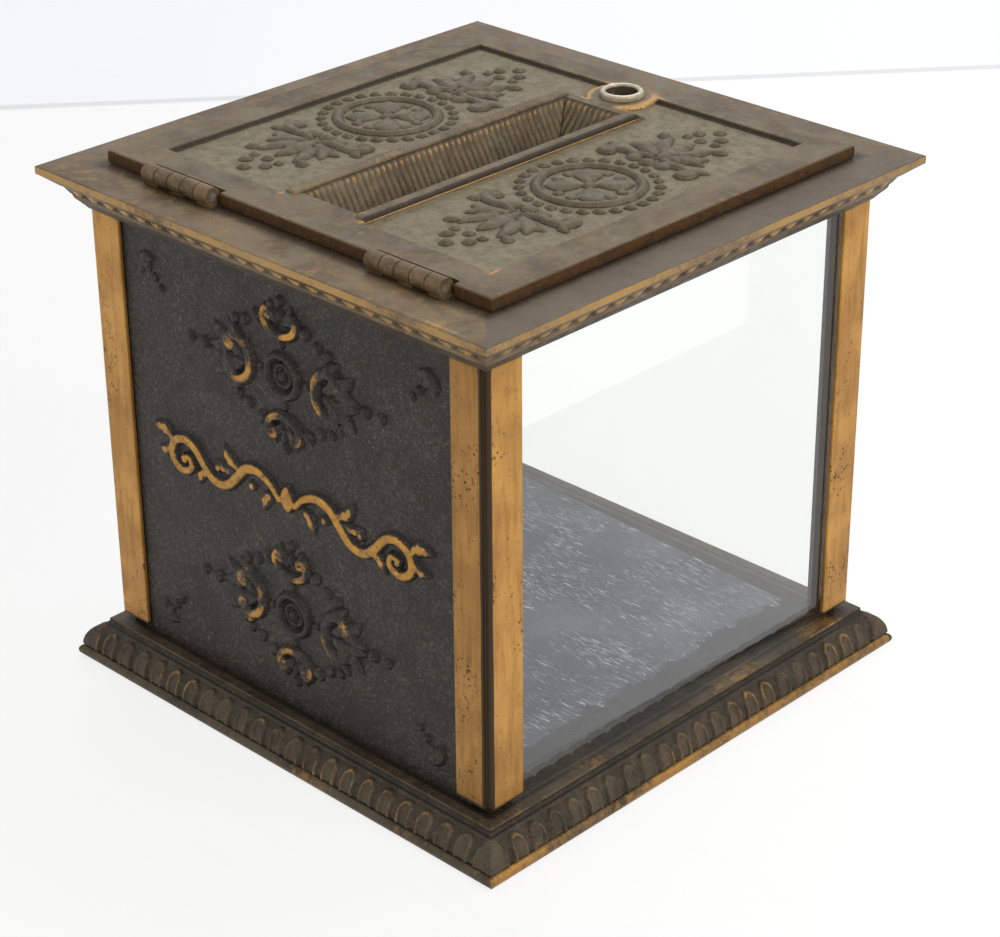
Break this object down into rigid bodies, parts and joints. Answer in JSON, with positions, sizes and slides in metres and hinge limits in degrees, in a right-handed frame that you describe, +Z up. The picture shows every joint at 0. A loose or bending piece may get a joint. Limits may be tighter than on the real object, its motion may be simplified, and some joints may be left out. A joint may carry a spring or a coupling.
{
  "type": "glazed counter receipt box",
  "caption": "Square cast-brass and glass counter box with moulded base, ornamented panel, hinged lockable lid and ribbed receipt slot.",
  "frame": {"origin": "middle of the footprint, on the table under the base", "axes": "+Z up; -Y is the ornamented cast panel and the hinge side of the lid; +Y is the lock side; +X is the glass side that the picture shows at the right"},
  "size_m": [0.169, 0.169, 0.1583],
  "materials": {
    "base_bronze": "dark patinated cast bronze with polished worn bead and lip",
    "zinc_plate": "blue-grey scratched sheet metal",
    "post_brass": "worn polished brass with dark pits",
    "panel_bronze": "dark pebbled cast bronze, relief worn to gold",
    "pane_glass": "clear old plate glass",
    "frame_patina": "grey-brown patinated cast brass with worn edges",
    "lid_patina": "grey-brown patinated cast brass with greenish sunk fields",
    "hinge_brass": "dull worn brass",
    "steel_bright": "plain steel",
    "lock_nickel": "worn nickel plate"
  },
  "bodies": {
    "box": {"base_frame": "base_bronze", "floor_plate": "zinc_plate", "post_front_right": "post_brass", "post_back_right": "post_brass", "post_back_left": "post_brass", "post_front_left": "post_brass", "front_panel": "panel_bronze", "glass_right": "pane_glass", "glass_back": "pane_glass", "glass_left": "pane_glass", "top_frame": "frame_patina", "tie_rods": "steel_bright", "tie_rod_nuts": "steel_bright", "hinge_frame_leaf_left": "hinge_brass", "hinge_frame_leaf_right": "hinge_brass", "hinge_pin_left": "steel_bright", "hinge_pin_right": "steel_bright", "hinge_frame_screws": "steel_bright", "lock_keeper": "steel_bright", "keeper_screws": "steel_bright"},
    "lid_body": {"lid": "lid_patina", "hinge_lid_leaf_left": "hinge_brass", "hinge_lid_leaf_right": "hinge_brass", "hinge_lid_screws": "steel_bright", "lock_housing": "lock_nickel", "lock_nut": "steel_bright"},
    "lock_plug_body": {"lock_plug": "lock_nickel", "lock_cam": "steel_bright", "cam_screw": "steel_bright"}
  },
  "joints": [
    {"name": "lid_hinge", "type": "hinge", "parent": "box", "child": "lid_body", "pos_m": [0, -0.0709, 0.1556], "axis": [1, 0, 0], "range_deg": [0, 180]},
    {"name": "lock_turn", "type": "hinge", "parent": "lid_body", "child": "lock_plug_body", "pos_m": [0, 0.0564, 0.1565], "axis": [0, 0, 1], "range_deg": [0, 90]}
  ]
}
